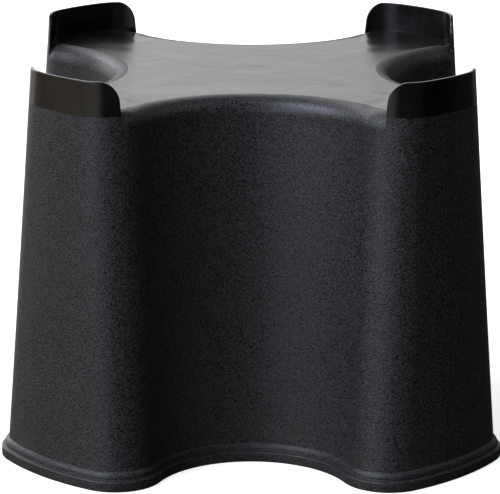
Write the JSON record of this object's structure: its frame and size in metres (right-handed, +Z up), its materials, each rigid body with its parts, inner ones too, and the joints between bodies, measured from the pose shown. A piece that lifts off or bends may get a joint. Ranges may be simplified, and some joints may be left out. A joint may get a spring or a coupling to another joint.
{
  "type": "water butt stand",
  "caption": "Black moulded plastic stand that raises a round water butt off the ground, with scalloped sides, corner lips and a stepped foot rim.",
  "frame": {"origin": "centre of the footprint on the floor, under the foot rim", "axes": "+Z up through the deck, -Y the side the picture faces, +X to that viewer's right; the stand repeats every 90 degrees about Z"},
  "size_m": [0.49, 0.49, 0.3877],
  "materials": {
    "textured_plastic": "fine spark-eroded texture, black polypropylene",
    "smooth_plastic": "smooth semi-gloss, black polypropylene"
  },
  "bodies": {
    "root": {"deck": "smooth_plastic", "deck_ribs": "textured_plastic", "foot_rim": "textured_plastic", "retaining_lip_front_left": "smooth_plastic", "retaining_lip_back_left": "smooth_plastic", "retaining_lip_back_right": "smooth_plastic", "retaining_lip_front_right": "smooth_plastic", "corner_leg_front_left": "textured_plastic", "corner_leg_back_left": "textured_plastic", "corner_leg_back_right": "textured_plastic", "corner_leg_front_right": "textured_plastic", "side_panel_front": "textured_plastic", "side_panel_left": "textured_plastic", "side_panel_back": "textured_plastic", "side_panel_right": "textured_plastic"}
  },
  "joints": []
}
